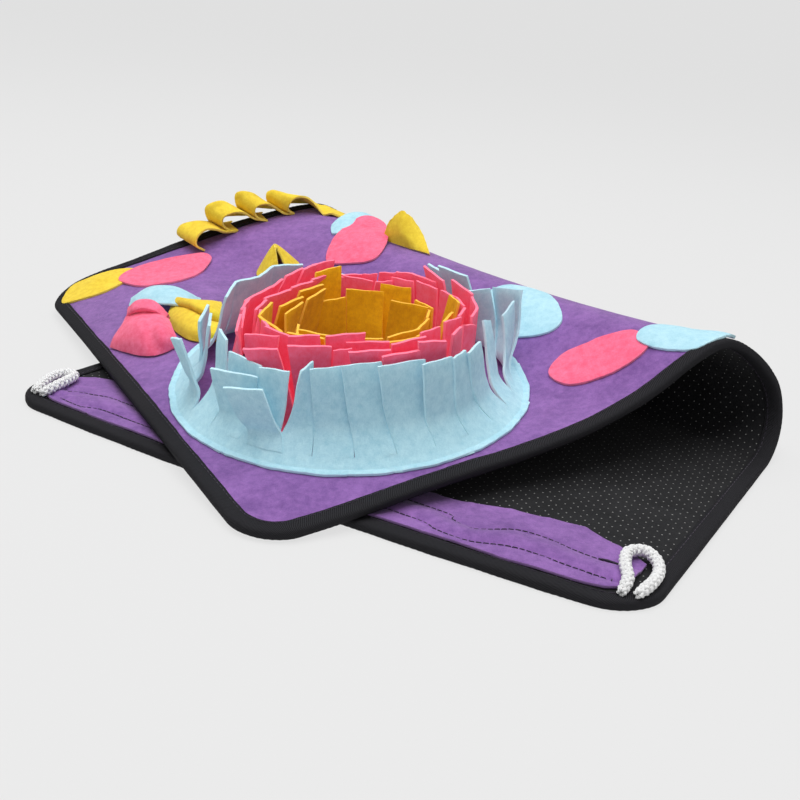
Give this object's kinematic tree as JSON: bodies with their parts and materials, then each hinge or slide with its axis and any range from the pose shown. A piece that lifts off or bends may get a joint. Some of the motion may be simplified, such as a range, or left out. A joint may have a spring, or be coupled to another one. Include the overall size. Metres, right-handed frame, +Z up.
{
  "type": "snuffle mat",
  "caption": "Purple felt snuffle mat for a dog, folded over on itself, with a standing flower of felt flaps, felt petals and pockets and a black edge.",
  "frame": {"origin": "middle of the mat's outline on the floor, at the height of the floor", "axes": "+Z up from the floor, +Y from the viewer to the back, +X to the viewer's right, where the fold's loop is"},
  "size_m": [0.5695, 0.5644, 0.1092],
  "materials": {
    "felt_purple": "matte",
    "felt_yellow": "matte",
    "felt_pink": "matte",
    "felt_blue": "matte",
    "lining_black": "matte",
    "tape_black": "matte",
    "rope_white": "matte"
  },
  "bodies": {
    "root": {"felt_face": "felt_purple", "lining": "lining_black", "edge_binding": "tape_black", "cord_casing": "felt_purple", "rope_loop_near": "rope_white", "rope_loop_far": "rope_white", "ring_blue": "felt_blue", "ring_pink_outer": "felt_pink", "ring_pink_inner": "felt_pink", "ring_yellow_outer": "felt_yellow", "ring_yellow_inner": "felt_yellow", "tongue_yellow": "felt_yellow", "oval_pink_back": "felt_pink", "petal_blue_left": "felt_blue", "pocket_pink": "felt_pink", "pocket_yellow": "felt_yellow", "petal_blue_back": "felt_blue", "petal_pink_back": "felt_pink", "petal_blue_right": "felt_blue", "oval_pink_right": "felt_pink", "oval_blue_crest": "felt_blue", "fold_yellow_middle": "felt_yellow", "fold_yellow_back": "felt_yellow", "frill_yellow": "felt_yellow"}
  },
  "joints": []
}
